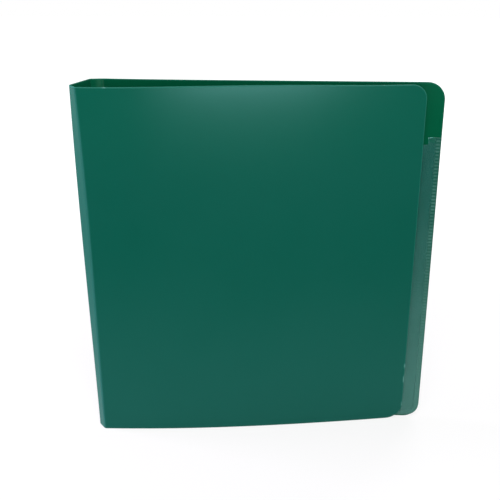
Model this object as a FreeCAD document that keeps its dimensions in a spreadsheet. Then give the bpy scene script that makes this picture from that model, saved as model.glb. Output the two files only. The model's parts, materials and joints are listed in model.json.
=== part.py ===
"""Stamp album: a ring binder of scored plastic sheet, standing upright and nearly closed."""
import FreeCAD, Part
import math
import os
import Sketcher
from types import SimpleNamespace
from FreeCAD import Placement, Rotation, Vector

# Driving dimensions, in millimetres and degrees
SIZES = {
    # Scored sheet: each panel is measured between score lines
    "cover_height": 318.0,
    "cover_width": 280.0,
    "spine_width": 31.5,
    "fold_width": 9.5,
    "sheet_depth": 1.2,
    "corner_radius": 12.0,
    "trim_margin": 3.0,
    "hinge_gap": 0.8,
    # Warp of the front cover: bow of its head and foot, and how far the foot's free end turns in
    "head_bow": 1.0,
    "foot_bow": 6.0,
    "foot_twist": 3.5,
    # Turn of the sheet at each score line, from the back cover round to the front cover
    "back_turn": 12.4,
    "spine_turn": 59.9,
    "fold_turn": 53.5,
    "front_turn": 61.0,
    # Clear pocket on the inside of the back cover
    "film_depth": 0.25,
    "film_gap": 0.3,
    "film_inset": 1.3,
    "pocket_width": 218.0,
    "pocket_height": 266.7,
    "tab_width": 9.5,
    "tab_height": 6.0,
    "weld_width": 6.4,
    # Ring housing: an arched channel riveted to the back cover
    "housing_offset": 27.0,
    "housing_length": 286.0,
    "housing_width": 28.4,
    "housing_wall": 0.8,
    "shoulder_rise": 4.0,
    "shoulder_radius": 1.4,
    "arch_rise": 6.3,
    "lip_width": 2.0,
    "slot_length": 6.0,
    "slot_play": 0.4,
    # Hinge plates under the arch
    "plate_length": 256.0,
    "plate_reach": 12.3,
    "plate_depth": 1.2,
    "plate_tilt": 8.0,
    "pivot_offset": 12.7,
    "pivot_rise": 2.6,
    # Half rings
    "ring_pitch": 80.0,
    "ring_rise": 29.0,
    "ring_parting": 0.1,
    "wire_radius": 1.5,
    "crown_left": 11.0,
    "crown_right": 7.0,
    "neck_radius": 4.0,
    "neck_turn": 45.0,
    "shank_radius": 1.1,
    "shank_play": 0.05,
    "shank_proud": 0.4,
    # Rivets
    "rivet_spacing": 272.0,
    "rivet_radius": 2.1,
    "rivet_play": 0.1,
    "rivet_head_radius": 4.6,
    "rivet_head_rise": 1.1,
    "rivet_collar_radius": 3.2,
    "rivet_flare_radius": 3.3,
    "rivet_flare_rise": 0.7,
    "rivet_crown_radius": 2.5,
    "rivet_seat": 0.14,
}
RING_COUNT = 4
LEFT_TURN = 1
RIGHT_TURN = -1
HORIZONTAL_AXIS = -1
VERTICAL_AXIS = -2
FULL_TURN = 360.0
HALF_TURN = 180.0


class Size:
    """A number together with the sheet formula that gives it."""

    def __init__(self, number, formula):
        self.number = number
        self.formula = formula

    def __add__(self, other):
        other = as_size(other)
        return Size(self.number + other.number, f"({self.formula} + {other.formula})")

    def __sub__(self, other):
        other = as_size(other)
        return Size(self.number - other.number, f"({self.formula} - {other.formula})")

    def __mul__(self, other):
        other = as_size(other)
        return Size(self.number * other.number, f"({self.formula} * {other.formula})")

    def __truediv__(self, other):
        other = as_size(other)
        return Size(self.number / other.number, f"({self.formula} / {other.formula})")

    def __neg__(self):
        return Size(-self.number, f"(-1 * {self.formula})")


def as_size(value):
    """Give a plain number the form of a size."""
    return value if isinstance(value, Size) else Size(float(value), f"({float(value)})")


def sine(angle):
    return Size(math.sin(math.radians(angle.number)), f"sin({angle.formula})")


def cosine(angle):
    return Size(math.cos(math.radians(angle.number)), f"cos({angle.formula})")


def bow_radius(chord, bow):
    """Radius of an arc that rises by bow over a chord."""
    return (chord * chord / 4 + bow * bow) / (bow * 2)


doc = FreeCAD.newDocument("StampAlbum")
sheet = doc.addObject("Spreadsheet::Sheet", "Sizes")
for row, (alias, size_number) in enumerate(SIZES.items(), 1):
    sheet.set(f"A{row}", alias)
    sheet.set(f"B{row}", str(size_number))
    sheet.setAlias(f"B{row}", alias)
doc.recompute()
S = SimpleNamespace(**{alias: Size(float(sheet.get(alias)), f"Sizes.{alias}") for alias in SIZES})
HALF_SHEET = S.sheet_depth / 2
HALF_PLATE = S.plate_depth / 2
ZERO = as_size(0)
subparts = []


# Drawing helpers
def new_body(label, placement):
    """Start a sub-part of the album."""
    body = doc.addObject("PartDesign::Body", label)
    body.Label = label
    body.Placement = placement
    subparts.append(body)
    return body


def new_sketch(body, role, offset=ZERO):
    """Lay a sketch on one of the body's own planes, moved along the plane's normal."""
    sketch = body.newObject("Sketcher::SketchObject", f"{body.Name}_sketch")
    plane = next(item for item in body.Origin.OriginFeatures if item.Role == role)
    sketch.AttachmentSupport = [(plane, "")]
    sketch.MapMode = "FlatFace"
    sketch.AttachmentOffset = Placement(Vector(0, 0, offset.number), Rotation())
    sketch.setExpression("AttachmentOffset.Base.z", offset.formula)
    return sketch


def bind(sketch, constraint, size):
    """Add a constraint whose value follows the sheet."""
    number = sketch.addConstraint(constraint)
    sketch.setExpression(f"Constraints[{number}]", size.formula)


def pin_point(sketch, geometry, end, x, y):
    """Fix one point of a line, arc or circle at x, y of the sketch."""
    for kind, axis, size in (("DistanceX", VERTICAL_AXIS, x), ("DistanceY", HORIZONTAL_AXIS, y)):
        if size.number == 0:
            sketch.addConstraint(Sketcher.Constraint("PointOnObject", geometry, end, axis))
        else:
            bind(sketch, Sketcher.Constraint(kind, -1, 1, geometry, end, size.number), size)


def arc_between(start, finish, radius, turn):
    """Circle arc of less than half a turn from start to finish, turning left or right."""
    chord = finish - start
    across = Vector(-chord.y, chord.x, 0).normalize()
    depth = math.sqrt(radius ** 2 - (chord.Length / 2) ** 2)
    centre = (start + finish) * 0.5 + across * (depth * turn)
    circle = Part.Circle(centre, Vector(0, 0, 1), radius)
    first, last = (start, finish) if turn == LEFT_TURN else (finish, start)
    return Part.ArcOfCircle(circle, circle.parameter(first), circle.parameter(last))


def draw(sketch, corners, arcs=None, closed=True):
    """Draw sides through the corners; arcs gives a side's radius and the way it turns."""
    arcs = arcs or {}
    points = [Vector(x.number, y.number, 0) for x, y in corners]
    side_count = len(points) if closed else len(points) - 1
    ends = []
    for side in range(side_count):
        start, finish = points[side], points[(side + 1) % len(points)]
        if side in arcs:
            radius, turn = arcs[side]
            geometry = sketch.addGeometry(arc_between(start, finish, radius.number, turn), False)
            ends.append((geometry, 1, 2) if turn == LEFT_TURN else (geometry, 2, 1))
        else:
            geometry = sketch.addGeometry(Part.LineSegment(start, finish), False)
            ends.append((geometry, 1, 2))
    for side, (geometry, first, last) in enumerate(ends):
        pin_point(sketch, geometry, first, *corners[side])
        if closed or side + 1 < side_count:
            following = ends[(side + 1) % side_count]
            link = Sketcher.Constraint("Coincident", geometry, last, following[0], following[1])
            sketch.addConstraint(link)
        else:
            pin_point(sketch, geometry, last, *corners[side + 1])
        if side in arcs:
            radius = arcs[side][0]
            bind(sketch, Sketcher.Constraint("Radius", geometry, radius.number), radius)


def draw_rectangle(sketch, left, low, right, high):
    draw(sketch, [(left, low), (right, low), (right, high), (left, high)])


def draw_circle(sketch, x, y, radius):
    circle = Part.Circle(Vector(x.number, y.number, 0), Vector(0, 0, 1), radius.number)
    geometry = sketch.addGeometry(circle, False)
    pin_point(sketch, geometry, 3, x, y)
    bind(sketch, Sketcher.Constraint("Radius", geometry, radius.number), radius)


# Solid helpers
def pad(body, sketch, length, side_type="One side", backwards=False):
    """Raise a sketch into a solid."""
    feature = body.newObject("PartDesign::Pad", f"{body.Name}_pad")
    feature.Profile = sketch
    feature.SideType = side_type
    feature.Reversed = backwards
    feature.setExpression("Length", length.formula)
    return feature


def cut_through(body, sketch):
    """Cut a sketch right through the body, both ways."""
    doc.recompute()
    volume_before = body.Shape.Volume
    feature = body.newObject("PartDesign::Pocket", f"{body.Name}_cut")
    feature.Profile = sketch
    feature.Type = "ThroughAll"
    feature.SideType = "Symmetric"
    doc.recompute()
    assert body.Shape.Volume < volume_before, f"{body.Label}: the cut removed nothing"
    return feature


def round_edges(body, radius, is_chosen):
    """Round the edges of the body's last feature that is_chosen picks."""
    doc.recompute()
    feature = body.Tip
    names = [f"Edge{number}" for number, edge in enumerate(feature.Shape.Edges, 1) if is_chosen(edge)]
    fillet = body.newObject("PartDesign::Fillet", f"{body.Name}_round")
    fillet.Base = (feature, names)
    fillet.setExpression("Radius", radius.formula)


def is_free_corner(edge):
    """Tell whether an edge runs across the sheet at a cover's free corner."""
    across_sheet = abs(edge.Length - S.sheet_depth.number) < 0.01
    return across_sheet and all(abs(vertex.X - S.cover_width.number) < 0.01 for vertex in edge.Vertexes)


# Plan of the sheet: the score lines, seen from above, followed from the back cover to the front
def away(point, heading, distance):
    """The plan point at a distance from another one, along a heading in degrees."""
    angle = math.radians(heading)
    return point + Vector(math.cos(angle), math.sin(angle), 0) * distance


back_heading = S.back_turn.number
spine_heading = back_heading + S.spine_turn.number
fold_heading = spine_heading + S.fold_turn.number
front_heading = fold_heading + S.front_turn.number - HALF_TURN

back_score = Vector(0, 0, 0)
spine_back_score = away(back_score, back_heading + HALF_TURN, S.fold_width.number)
spine_front_score = away(spine_back_score, spine_heading + HALF_TURN, S.spine_width.number)
front_score = away(spine_front_score, fold_heading + HALF_TURN, S.fold_width.number)

# The origin is under the middle of the album's box, from fold strip to rivet head
box_middle = Vector(
    (spine_front_score.x - HALF_SHEET.number + S.cover_width.number) / 2,
    (front_score.y + S.rivet_head_rise.number) / 2,
    0,
)


def upright(score, heading):
    """Place a panel that stands on the floor with its axis at a score line."""
    return Placement(score - box_middle, Rotation(Vector(0, 0, 1), heading))


back_place = upright(back_score, 0)


# Scored sheet
def make_flat_panel(label, placement, left, right):
    """A flat stretch of the sheet, as tall as the album."""
    body = new_body(label, placement)
    plan = new_sketch(body, "XY_Plane")
    draw_rectangle(plan, left, -HALF_SHEET, right, HALF_SHEET)
    pad(body, plan, S.cover_height)
    return body


def make_fold_strip(label, placement):
    """A narrow strip between two score lines, with a round nose on each of their axes."""
    body = new_body(label, placement)
    plan = new_sketch(body, "XY_Plane")
    corners = [
        (ZERO, -HALF_SHEET),
        (S.fold_width, -HALF_SHEET),
        (S.fold_width + HALF_SHEET, ZERO),
        (S.fold_width, HALF_SHEET),
        (ZERO, HALF_SHEET),
        (-HALF_SHEET, ZERO),
    ]
    nose = (HALF_SHEET, LEFT_TURN)
    draw(plan, corners, {1: nose, 2: nose, 4: nose, 5: nose})
    pad(body, plan, S.cover_height)


def make_back_cover():
    body = make_flat_panel("back_cover", back_place, S.hinge_gap, S.cover_width)
    round_edges(body, S.corner_radius, is_free_corner)
    holes = new_sketch(body, "XZ_Plane")
    for side in (-1, 1):
        height = S.cover_height / 2 + S.rivet_spacing * (side / 2)
        draw_circle(holes, S.housing_offset, height, S.rivet_radius + S.rivet_play)
    cut_through(body, holes)


def draw_bowed_edge(sketch, bow, twist):
    """Plan of the front cover at one height: an arc that bows out, with its free end turned in."""
    radius = bow_radius(S.cover_width - S.hinge_gap, bow)
    corners = [
        (S.hinge_gap, -HALF_SHEET),
        (S.cover_width, twist - HALF_SHEET),
        (S.cover_width, twist + HALF_SHEET),
        (S.hinge_gap, HALF_SHEET),
    ]
    draw(sketch, corners, {0: (radius, LEFT_TURN), 2: (radius, RIGHT_TURN)})


def draw_corner_trim(sketch, edge, inwards):
    """What lies outside a round free corner of a cover, at its foot or its head."""
    past_side = S.cover_width + S.trim_margin
    past_edge = edge - S.trim_margin * inwards
    arc_height = edge + S.corner_radius * inwards
    corners = [
        (S.cover_width - S.corner_radius, edge),
        (S.cover_width - S.corner_radius, past_edge),
        (past_side, past_edge),
        (past_side, arc_height),
        (S.cover_width, arc_height),
    ]
    draw(sketch, corners, {4: (S.corner_radius, RIGHT_TURN * inwards)})


def make_front_cover():
    """The front cover, bowed more at its foot than at its head."""
    body = new_body("front_cover", upright(front_score, front_heading))
    foot = new_sketch(body, "XY_Plane")
    draw_bowed_edge(foot, S.foot_bow, S.foot_twist)
    head = new_sketch(body, "XY_Plane", S.cover_height)
    draw_bowed_edge(head, S.head_bow, ZERO)
    loft = body.newObject("PartDesign::AdditiveLoft", "front_cover_loft")
    loft.Profile = foot
    loft.Sections = [head]
    loft.Ruled = True
    corners = new_sketch(body, "XZ_Plane")
    draw_corner_trim(corners, ZERO, 1)
    draw_corner_trim(corners, S.cover_height, -1)
    cut_through(body, corners)


make_back_cover()
make_fold_strip("back_fold_strip", upright(spine_back_score, back_heading))
make_flat_panel("spine_panel", upright(spine_front_score, spine_heading),
                S.hinge_gap, S.spine_width - S.hinge_gap)
make_fold_strip("front_fold_strip", upright(front_score, fold_heading))
make_front_cover()

# Clear pocket: a film welded to the back cover on three sides, open at the top
film_right = S.cover_width - S.film_inset
film_left = film_right - S.pocket_width
film_foot = S.film_inset
film_head = S.film_inset + S.pocket_height
film_corner = S.corner_radius - S.film_inset


def make_pocket_film():
    body = new_body("pocket_film", back_place)
    outline = new_sketch(body, "XZ_Plane", HALF_SHEET + S.film_gap)
    corners = [
        (film_left, film_foot),
        (film_right - film_corner, film_foot),
        (film_right, film_foot + film_corner),
        (film_right, film_head + S.tab_height),
        (film_right - S.tab_width, film_head + S.tab_height),
        (film_right - S.tab_width, film_head),
        (film_left, film_head),
    ]
    draw(outline, corners, {1: (film_corner, LEFT_TURN)})
    pad(body, outline, S.film_depth)


def make_side_weld():
    """Weld down the free side of the pocket and round its lower corner."""
    body = new_body("pocket_weld_side", back_place)
    outline = new_sketch(body, "XZ_Plane", HALF_SHEET)
    corners = [
        (film_right - film_corner, film_foot),
        (film_right, film_foot + film_corner),
        (film_right, film_head + S.tab_height),
        (film_right - S.weld_width, film_head + S.tab_height),
        (film_right - S.weld_width, film_foot + film_corner),
        (film_right - film_corner, film_foot + S.weld_width),
    ]
    inner_corner = film_corner - S.weld_width
    draw(outline, corners, {0: (film_corner, LEFT_TURN), 4: (inner_corner, RIGHT_TURN)})
    pad(body, outline, S.film_gap)


def make_straight_weld(label, left, low, right, high):
    body = new_body(label, back_place)
    outline = new_sketch(body, "XZ_Plane", HALF_SHEET)
    draw_rectangle(outline, left, low, right, high)
    pad(body, outline, S.film_gap)


make_pocket_film()
make_side_weld()
make_straight_weld("pocket_weld_foot", film_left, film_foot,
                   film_right - film_corner, film_foot + S.weld_width)
make_straight_weld("pocket_weld_inner", film_left, film_foot + S.weld_width,
                   film_left + S.weld_width, film_head)

# Ring mechanism: its own frame has x away from the spine, y into the album and z down
mechanism_base = Vector(S.housing_offset.number, -HALF_SHEET.number, S.cover_height.number / 2)
mechanism_place = Placement(mechanism_base - box_middle, Rotation(Vector(1, 0, 0), HALF_TURN))

# In a plate's frame x runs from the pivot to the middle, and y away from the back cover
tip_across = S.pivot_offset - S.ring_parting
tip_rise = S.ring_rise - S.pivot_rise
tip_x = tip_across * cosine(S.plate_tilt) - tip_rise * sine(S.plate_tilt)
tip_y = tip_across * sine(S.plate_tilt) + tip_rise * cosine(S.plate_tilt)


def pivot_place(side, along=0.0):
    """Frame of a hinge plate or half ring: side -1 is next to the spine, 1 is away from it."""
    pivot = Vector(side * S.pivot_offset.number, S.pivot_rise.number, along)
    facing = Rotation(Vector(0, 1, 0), HALF_TURN if side > 0 else 0)
    tilt = Rotation(Vector(0, 0, 1), -S.plate_tilt.number)
    return mechanism_place.multiply(Placement(pivot, facing.multiply(tilt)))


def ring_offset(index):
    """Distance of a ring from the middle of the mechanism."""
    return S.ring_pitch * (index - (RING_COUNT - 1) / 2)


def spine_side_route():
    """Centre line of the half ring next to the spine: a leg, a neck that leans out, and a crown."""
    neck_x = S.neck_radius * (cosine(S.neck_turn) - 1)
    neck_y = S.neck_radius * sine(S.neck_turn)
    crown_x = S.crown_left * (cosine(S.neck_turn) - sine(S.plate_tilt))
    crown_y = S.crown_left * (cosine(S.plate_tilt) + sine(S.neck_turn))
    crown_start = (tip_x - crown_x, tip_y - crown_y)
    leg_top = (crown_start[0] - neck_x, crown_start[1] - neck_y)
    corners = [(leg_top[0], HALF_PLATE), leg_top, crown_start, (tip_x, tip_y)]
    return corners, {1: (S.neck_radius, LEFT_TURN), 2: (S.crown_left, RIGHT_TURN)}


def page_side_route():
    """Centre line of the half ring away from the spine: a long post and a crown."""
    crown_x = S.crown_right * (as_size(1) - sine(S.plate_tilt))
    crown_y = S.crown_right * cosine(S.plate_tilt)
    leg_top = (tip_x - crown_x, tip_y - crown_y)
    corners = [(leg_top[0], HALF_PLATE), leg_top, (tip_x, tip_y)]
    return corners, {1: (S.crown_right, RIGHT_TURN)}


ROUTES = {-1: spine_side_route(), 1: page_side_route()}
SIDE_NAMES = {-1: "left", 1: "right"}


def make_half_ring(index, side):
    """A bent wire that stands on its hinge plate, with a thinner shank through the plate."""
    label = f"ring_{index + 1}_{SIDE_NAMES[side]}"
    body = new_body(label, pivot_place(side, ring_offset(index).number))
    corners, arcs = ROUTES[side]
    foot_x = corners[0][0]
    route = new_sketch(body, "XY_Plane")
    draw(route, corners, arcs, closed=False)
    section = new_sketch(body, "XZ_Plane", -HALF_PLATE)
    draw_circle(section, foot_x, ZERO, S.wire_radius)
    wire = body.newObject("PartDesign::AdditivePipe", f"{label}_wire")
    wire.Profile = section
    wire.Spine = (route, [f"Edge{number}" for number in range(1, len(corners))])
    shank = new_sketch(body, "XZ_Plane", -HALF_PLATE)
    draw_circle(shank, foot_x, ZERO, S.shank_radius)
    pad(body, shank, S.plate_depth + S.shank_proud)


def make_hinge_plate(side):
    """A plate with a round nose on its pivot and a hole under each half ring."""
    body = new_body(f"hinge_plate_{SIDE_NAMES[side]}", pivot_place(side))
    profile = new_sketch(body, "XY_Plane")
    corners = [
        (ZERO, -HALF_PLATE),
        (S.plate_reach, -HALF_PLATE),
        (S.plate_reach, HALF_PLATE),
        (ZERO, HALF_PLATE),
        (-HALF_PLATE, ZERO),
    ]
    nose = (HALF_PLATE, LEFT_TURN)
    draw(profile, corners, {3: nose, 4: nose})
    pad(body, profile, S.plate_length, "Symmetric")
    holes = new_sketch(body, "XZ_Plane")
    foot_x = ROUTES[side][0][0][0]
    for index in range(RING_COUNT):
        draw_circle(holes, foot_x, ring_offset(index), S.shank_radius + S.shank_play)
    cut_through(body, holes)


def leg_offset(side):
    """How far from the middle of the housing a half ring's leg comes through the arch."""
    leg_x, leg_y = ROUTES[side][0][1][0], S.arch_rise - S.pivot_rise
    return S.pivot_offset - leg_x * cosine(S.plate_tilt) - leg_y * sine(S.plate_tilt)


def make_housing():
    """An arched channel with turned-in lips, a slot for each half ring and two rivet holes."""
    body = new_body("ring_housing", mechanism_place)
    half = S.housing_width / 2
    inner = half - S.housing_wall
    lip = half - S.lip_width
    under = S.shoulder_rise - S.housing_wall
    crown = bow_radius(S.housing_width, S.arch_rise - S.shoulder_rise)
    under_crown = bow_radius(inner * 2, S.arch_rise - S.shoulder_rise)
    corners = [
        (-half, ZERO), (-lip, ZERO), (-lip, S.housing_wall), (-inner, S.housing_wall),
        (-inner, under), (inner, under),
        (inner, S.housing_wall), (lip, S.housing_wall), (lip, ZERO), (half, ZERO),
        (half, S.shoulder_rise), (-half, S.shoulder_rise),
    ]
    profile = new_sketch(body, "XY_Plane")
    draw(profile, corners, {4: (under_crown, RIGHT_TURN), 10: (crown, LEFT_TURN)})
    pad(body, profile, S.housing_length, "Symmetric")
    round_edges(body, S.shoulder_radius, is_housing_shoulder)
    holes = new_sketch(body, "XZ_Plane")
    slot_half_width = S.wire_radius + S.slot_play
    for side in (-1, 1):
        middle = leg_offset(side) * side
        for index in range(RING_COUNT):
            draw_rectangle(holes, middle - S.slot_length / 2, ring_offset(index) - slot_half_width,
                           middle + S.slot_length / 2, ring_offset(index) + slot_half_width)
        draw_circle(holes, ZERO, S.rivet_spacing * (side / 2), S.rivet_radius + S.rivet_play)
    cut_through(body, holes)


def is_housing_shoulder(edge):
    """Tell whether an edge runs along one of the housing's outer shoulders."""
    is_long = edge.Length > S.housing_length.number / 2
    places = [(abs(vertex.X), vertex.Y) for vertex in edge.Vertexes]
    return is_long and all(
        abs(x - S.housing_width.number / 2) < 0.01 and abs(y - S.shoulder_rise.number) < 0.01
        for x, y in places
    )


def make_rivet(label, side):
    """A rivet with a domed head behind the back cover, a collar and a flared end on the arch."""
    along = side * S.rivet_spacing.number / 2
    body = new_body(label, mechanism_place.multiply(Placement(Vector(0, 0, along), Rotation())))
    collar_top = S.arch_rise - S.housing_wall - S.rivet_seat
    flare_top = S.arch_rise + S.rivet_flare_rise
    corners = [
        (ZERO, -S.sheet_depth - S.rivet_head_rise),
        (S.rivet_head_radius, -S.sheet_depth),
        (S.rivet_radius, -S.sheet_depth),
        (S.rivet_radius, ZERO),
        (S.rivet_collar_radius, ZERO),
        (S.rivet_collar_radius, collar_top),
        (S.rivet_radius, collar_top),
        (S.rivet_radius, S.arch_rise),
        (S.rivet_flare_radius, S.arch_rise),
        (S.rivet_crown_radius, flare_top),
        (ZERO, flare_top),
    ]
    dome = bow_radius(S.rivet_head_radius * 2, S.rivet_head_rise)
    profile = new_sketch(body, "XY_Plane")
    draw(profile, corners, {0: (dome, LEFT_TURN)})
    turned = body.newObject("PartDesign::Revolution", f"{label}_turned")
    turned.Profile = profile
    turned.ReferenceAxis = (profile, ["V_Axis"])
    turned.Angle = FULL_TURN


make_housing()
for plate_side in (-1, 1):
    make_hinge_plate(plate_side)
for ring_index in range(RING_COUNT):
    for ring_side in (-1, 1):
        make_half_ring(ring_index, ring_side)
make_rivet("rivet_upper", -1)
make_rivet("rivet_lower", 1)

# Check every object, then write each sub-part to its own file
doc.recompute()
failed = [item.Label for item in doc.Objects if "Invalid" in item.State or "Error" in item.State]
assert not failed, f"failed objects: {failed}"
for body in subparts:
    assert not body.Shape.isNull() and body.Shape.isValid(), f"{body.Label} has no valid shape"
    assert len(body.Shape.Solids) == 1, f"{body.Label} isn't one solid"
os.makedirs("parts", exist_ok=True)
for body in subparts:
    body.Shape.exportStep(f"parts/{body.Label}.step")
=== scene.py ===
"""Dress the stamp album: scored sheet, clear pocket and ring mechanism, with floor, light and camera."""
import json
import math
from collections import namedtuple

import bmesh
import bpy
from mathutils import Matrix, Vector, noise


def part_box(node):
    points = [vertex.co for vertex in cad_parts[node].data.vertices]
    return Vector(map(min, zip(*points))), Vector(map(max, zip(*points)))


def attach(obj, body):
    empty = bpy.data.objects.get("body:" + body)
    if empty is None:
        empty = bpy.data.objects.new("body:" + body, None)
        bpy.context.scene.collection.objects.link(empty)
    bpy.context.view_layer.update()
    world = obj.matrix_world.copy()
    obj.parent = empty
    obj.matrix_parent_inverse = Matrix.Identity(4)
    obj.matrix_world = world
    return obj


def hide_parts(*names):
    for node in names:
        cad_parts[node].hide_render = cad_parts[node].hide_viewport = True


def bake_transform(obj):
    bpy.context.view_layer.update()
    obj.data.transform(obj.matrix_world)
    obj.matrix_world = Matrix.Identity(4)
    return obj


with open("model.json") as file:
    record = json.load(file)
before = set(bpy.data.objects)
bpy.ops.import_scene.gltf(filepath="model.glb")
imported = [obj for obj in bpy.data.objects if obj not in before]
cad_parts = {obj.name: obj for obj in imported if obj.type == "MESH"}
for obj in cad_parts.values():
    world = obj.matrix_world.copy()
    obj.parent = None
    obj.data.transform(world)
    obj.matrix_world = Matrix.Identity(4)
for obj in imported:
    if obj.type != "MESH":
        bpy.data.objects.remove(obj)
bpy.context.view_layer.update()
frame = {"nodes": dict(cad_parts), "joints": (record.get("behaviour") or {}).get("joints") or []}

MM = 0.001
WHITE = (1, 1, 1)
NO_SHIFT = Vector((0, 0))

# Sheet: its score lines in plan, its size and the front cover's direction, all from the frame
JOINTS = {joint["name"]: joint for joint in frame["joints"]}
SCORE_HINGES = ("back_fold_hinge", "spine_hinge", "front_fold_hinge", "front_cover_hinge")
BACK_SCORE, REAR_SCORE, NOSE_SCORE, FRONT_SCORE = (
    Vector(JOINTS[name]["pos_m"]).to_2d() for name in SCORE_HINGES
)
SHEET_LOW, SHEET_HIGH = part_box("back_cover")
HALF_SHEET = (SHEET_HIGH.y - SHEET_LOW.y) / 2
HEIGHT = SHEET_HIGH.z
COVER = SHEET_HIGH.x - BACK_SCORE.x
FOLD = (REAR_SCORE - BACK_SCORE).length
SPINE = (NOSE_SCORE - REAR_SCORE).length
FRONT_HEADING = math.radians(sum(JOINTS[name]["range_deg"][1] for name in SCORE_HINGES) - 180)
FRONT_ALONG = Vector((math.cos(FRONT_HEADING), math.sin(FRONT_HEADING)))
FRONT_OUT = Vector((FRONT_ALONG.y, -FRONT_ALONG.x))

# Free corners of the covers: radius at the foot and at the head
FRONT_CORNERS = (15 * MM, 12.3 * MM)
BACK_CORNERS = (14.5 * MM, 14.5 * MM)

# Bent stretch at a score line: half width, handle of its curve, and the groove on its inner face
CREASE = 1.3 * MM
CREASE_HANDLE = 0.64 * CREASE
GROOVE_DEPTH = 0.22 * MM
GROOVE_WIDTH = 0.5 * MM

# Warp of the score lines: how far they stand off their axes, lean at the head and bow below it
REAR_SET = Vector((-1.2, 0.6)) * MM
NOSE_SET = Vector((0.0, 0.2)) * MM
NOSE_LEAN = Vector((-0.8, 1.8)) * MM
NOSE_BOW = Vector((-1.1, 0.3)) * MM
FRONT_SET = Vector((1.0, 0.0)) * MM
FRONT_LEAN = Vector((-1.05, 1.8)) * MM
FRONT_BOW = Vector((1.25, 0.8)) * MM

# Scale that brings the curve of a bow to one where it is highest
BOW_SCALE = 27 / 4

# Front cover in plan: reach of its score line's warp, its bows, its turn at the foot and its wave
WARP_REACH = 60 * MM
FOOT_BOW = 5.75 * MM
FOOT_SKEW = 0.4 * MM
FOOT_TURN = 4.5 * MM
HEAD_BOW = 0.1 * MM
WAVE = 0.1 * MM
WAVE_SCALE = 12

# Head edge: how far it rises by the spine's front score line, and drops and waves towards the free sides
NOSE_RISE = 0.6 * MM
FRONT_RISE = 0.55 * MM
FRONT_RISE_REACH = 20 * MM
FRONT_DROP = 0.9 * MM
FRONT_WAVE = 0.44 * MM
BACK_DROP = 0.45 * MM
BACK_DROP_REACH = 35 * MM

# Cut edge of the sheet: its radius, and the flat band beside it that keeps the shading clean
EDGE_RADIUS = 0.35 * MM
EDGE_BAND = 0.6 * MM

# Painted glints on the front cover: height and half length on its free edge, and one glint on its head edge
SIDE_MARKS = ((56.5 * MM, 1.5 * MM), (42 * MM, 2.6 * MM), (14.3 * MM, 1.6 * MM))
SIDE_MARK_DEPTH = 1.0 * MM
HEAD_MARK_WAY = 23 * MM
HEAD_MARK_HALF = 1.1 * MM
HEAD_MARK_DEPTH = 0.4 * MM

# Painted light on the head of the inner faces by the spine, where light falls into the slot: height and
# fade, and share and reach on the back cover
LIGHT_HEAD = 12 * MM
LIGHT_FADE = 30 * MM
LIGHT_COVER = 0.4
LIGHT_REACH = 30 * MM

# Whitening and painted light: the streak inside the back fold, whitened and partly painted light, the front
# fold's outside with painted sheen, and the whitened score lines
STREAK = 1.1
STREAK_WAY = 2.8 * MM
STREAK_WIDTH = 2.0 * MM
FRONT_FOLD_SHEEN = 0.48
SCORE_WHITE = 1
REAR_SCORE_WHITE = 0.1

# Pocket weld: its sides and foot from the frame, its section and its knurl
FILM_LOW, FILM_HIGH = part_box("pocket_film")
WELD_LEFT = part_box("pocket_weld_inner")[0].x
WELD_SHIFT = 0.9 * MM
WELD_RIGHT = FILM_HIGH.x + WELD_SHIFT
WELD_FOOT = FILM_LOW.z
WELD_WIDTH = 4.2 * MM
WELD_PITCH = 3.0 * MM
WELD_RIDGE = 0.14 * MM
WELD_BEVEL = 0.5 * MM
POCKET_CORNER = 11.5 * MM

# Pocket film between the welds: its head with the tab, its thickness and how far it laps over the weld
TAB_WIDTH = 10.4 * MM
TAB_LOWERED = 1.9 * MM
TAB_TOP = FILM_HIGH.z - TAB_LOWERED
TAB_RISE = 6.1 * MM
FILM_HEAD = TAB_TOP - TAB_RISE
FILM_LEFT = WELD_LEFT + WELD_WIDTH
FILM_RIGHT = WELD_RIGHT - WELD_WIDTH
FILM_FOOT = WELD_FOOT + WELD_WIDTH
FILM_HALF = 0.06 * MM
FILM_EDGE = 0.04 * MM
FILM_OVERLAP = 0.5 * MM

# Pocket film before the back cover: its gap, how it sinks into the weld, and how it billows and ripples
FILM_GAP = 0.3 * MM
FILM_SUNK = 0.12 * MM
FILM_RISE = 6 * MM
FILM_BILLOW = 0.35 * MM
FILM_SLACK_FROM = 0.25
FILM_RIPPLE = 0.12 * MM
FILM_RIPPLE_SCALE = 25

# Heights of the weld over the back cover, and the straight length of its side above the corner
WELD_FLAT = FILM_GAP + FILM_HALF
WELD_LIP = WELD_FLAT / 2
SIDE_STRAIGHT = TAB_TOP - WELD_FOOT - POCKET_CORNER

# Grids of the meshes
COVER_COLUMNS = 40
BACK_FOLD_COLUMNS = 8
SPINE_COLUMNS = 6
FRONT_FOLD_COLUMNS = 2
BEND_COLUMNS = 12
SHEET_ROWS = 36
FILM_COLUMNS = 30
FILM_ROWS = 36
EDGE_STEPS = 3
CORNER_STEPS = 10
WELD_STEPS = 8

# Grid lines around the painted glints: in half lengths from a glint's middle, and at a distance behind it
MARK_ENDS = (-1.5, -0.9, 0.9, 1.5)
MARK_FADE = 0.3 * MM

# Mesh limits: step that gives a direction, tolerance of a cut, depth share of inner faces and sharp angle
DIFFERENCE = 0.05 * MM
CUT_TOLERANCE = 0.0001 * MM
INNER_SHARE = 0.9
SHARP_ANGLE = math.radians(50)

# Camera: place, angles, focal length and picture width in pixels, and sensor width in millimetres
CAMERA_PLACE = Vector((43.14, -645.13, 448.79)) * MM
CAMERA_YAW = math.radians(-4.505)
CAMERA_PITCH = math.radians(22.898)
CAMERA_ROLL = math.radians(-0.369)
FOCAL_PIXELS = 815.31
FRAME_PIXELS = 500
SENSOR = 36

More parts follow.
